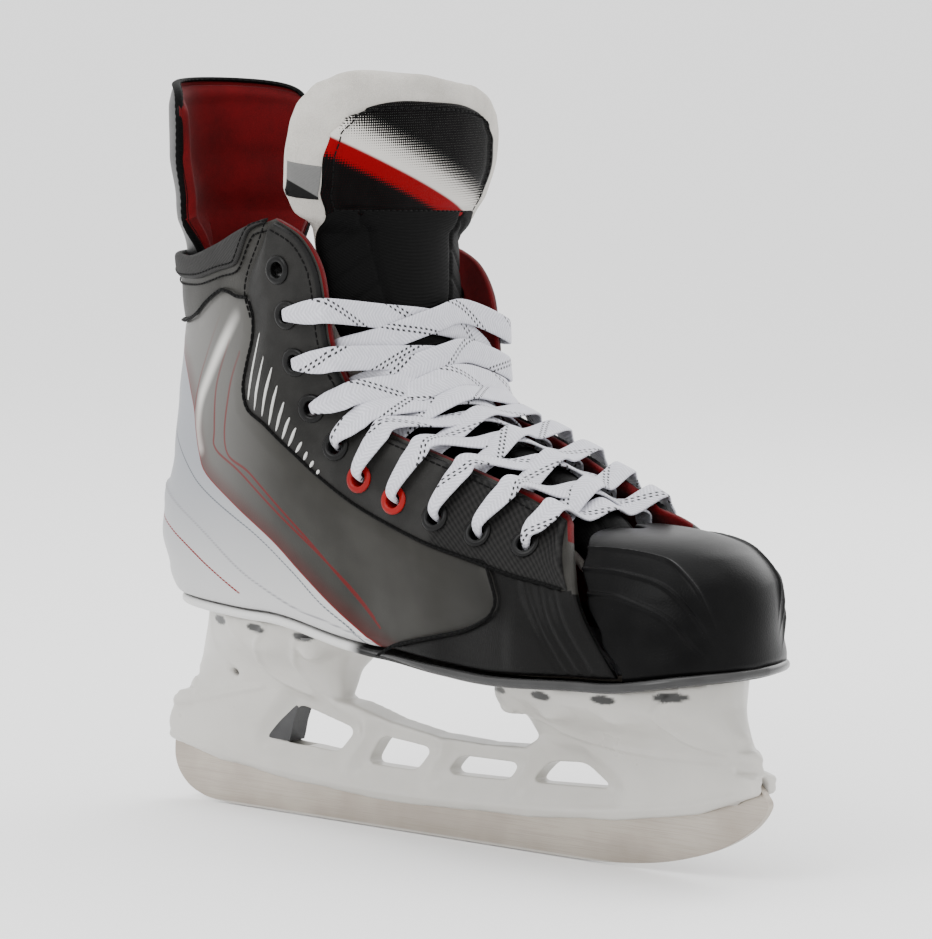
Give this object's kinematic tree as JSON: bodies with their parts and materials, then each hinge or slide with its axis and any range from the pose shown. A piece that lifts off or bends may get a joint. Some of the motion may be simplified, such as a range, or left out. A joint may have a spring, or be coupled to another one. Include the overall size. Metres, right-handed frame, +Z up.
{
  "type": "ice hockey skate",
  "caption": "Left ice hockey skate: laced boot with padded tongue and tendon guard, riveted to a blade holder with a trigger-released steel runner.",
  "frame": {"origin": "middle of the runner's flat ice edge, on the ice", "axes": "+X towards the toe, +Y towards the wearer's left (the outer side), +Z up"},
  "size_m": [0.2884, 0.1146, 0.2827],
  "materials": {
    "upper_composite": "satin printed composite",
    "facing_leather": "matte",
    "eyelet_black": "gloss",
    "eyelet_red": "gloss",
    "red_lining": "brushed microfibre",
    "collar_leather": "matte",
    "toe_plastic": "satin",
    "sole_plastic": "satin",
    "insole_board": "matte",
    "footbed_foam": "matte",
    "tongue_felt": "felted",
    "tongue_leather": "satin",
    "badge_print": "printed satin",
    "guard_shell": "matte",
    "lace_weave": "waxed weave",
    "holder_plastic": "satin",
    "runner_steel": "ground",
    "trigger_plastic": "matte",
    "pin_steel": "satin",
    "spring_steel": "satin",
    "rivet_black": "satin"
  },
  "bodies": {
    "boot": {"quarter_inner": "upper_composite", "quarter_outer": "upper_composite", "facing_inner": "facing_leather", "facing_outer": "facing_leather", "liner": "red_lining", "collar_band": "collar_leather", "toe_cap": "toe_plastic", "outsole": "sole_plastic", "insole_board": "insole_board", "footbed": "footbed_foam", "tongue_lower": "tongue_felt", "tongue_cover": "tongue_leather", "lace": "lace_weave", "blade_holder": "holder_plastic", "trigger_pin": "pin_steel", "trigger_spring": "spring_steel", "eyelet_inner_01": "eyelet_black", "eyelet_inner_02": "eyelet_black", "eyelet_inner_03": "eyelet_black", "eyelet_inner_04": "eyelet_red", "eyelet_inner_05": "eyelet_red", "eyelet_inner_06": "eyelet_black", "eyelet_inner_07": "eyelet_black", "eyelet_inner_08": "eyelet_black", "eyelet_inner_09": "eyelet_black", "eyelet_inner_10": "eyelet_black", "eyelet_outer_01": "eyelet_black", "eyelet_outer_02": "eyelet_black", "eyelet_outer_03": "eyelet_black", "eyelet_outer_04": "eyelet_red", "eyelet_outer_05": "eyelet_red", "eyelet_outer_06": "eyelet_black", "eyelet_outer_07": "eyelet_black", "eyelet_outer_08": "eyelet_black", "eyelet_outer_09": "eyelet_black", "eyelet_outer_10": "eyelet_black", "rivet_inner_1": "rivet_black", "rivet_inner_2": "rivet_black", "rivet_inner_3": "rivet_black", "rivet_inner_4": "rivet_black", "rivet_inner_5": "rivet_black", "rivet_inner_6": "rivet_black", "rivet_inner_7": "rivet_black", "rivet_outer_1": "rivet_black", "rivet_outer_2": "rivet_black", "rivet_outer_3": "rivet_black", "rivet_outer_4": "rivet_black", "rivet_outer_5": "rivet_black", "rivet_outer_6": "rivet_black", "rivet_outer_7": "rivet_black"},
    "tongue_top": {"tongue_upper": "tongue_felt", "tongue_badge": "badge_print"},
    "tendon_guard": {"tendon_guard": "guard_shell", "tendon_guard_pad": "red_lining"},
    "runner": {"runner": "runner_steel"},
    "trigger": {"trigger": "trigger_plastic"}
  },
  "joints": [
    {"name": "tongue_flex", "type": "hinge", "parent": "boot", "child": "tongue_top", "pos_m": [-0.0232, 0, 0.2262], "axis": [0, 1, 0], "range_deg": [0, 50], "stiffness_Nm_per_rad": 0.6},
    {"name": "tendon_guard_flex", "type": "hinge", "parent": "boot", "child": "tendon_guard", "pos_m": [-0.13, 0, 0.206], "axis": [0, -1, 0], "range_deg": [0, 15], "stiffness_Nm_per_rad": 3},
    {"name": "runner_release", "type": "hinge", "parent": "boot", "child": "runner", "pos_m": [0.14, 0, 0.031], "axis": [0, -1, 0], "range_deg": [0, 1.4]},
    {"name": "trigger_pull", "type": "hinge", "parent": "boot", "child": "trigger", "pos_m": [-0.104, 0, 0.052], "axis": [0, 1, 0], "range_deg": [0, 14], "stiffness_Nm_per_rad": 0.3, "springref_deg": -17.19}
  ],
  "couplings": [
    {"joint": "trigger_pull", "follows": "runner_release", "ratio": 10}
  ]
}
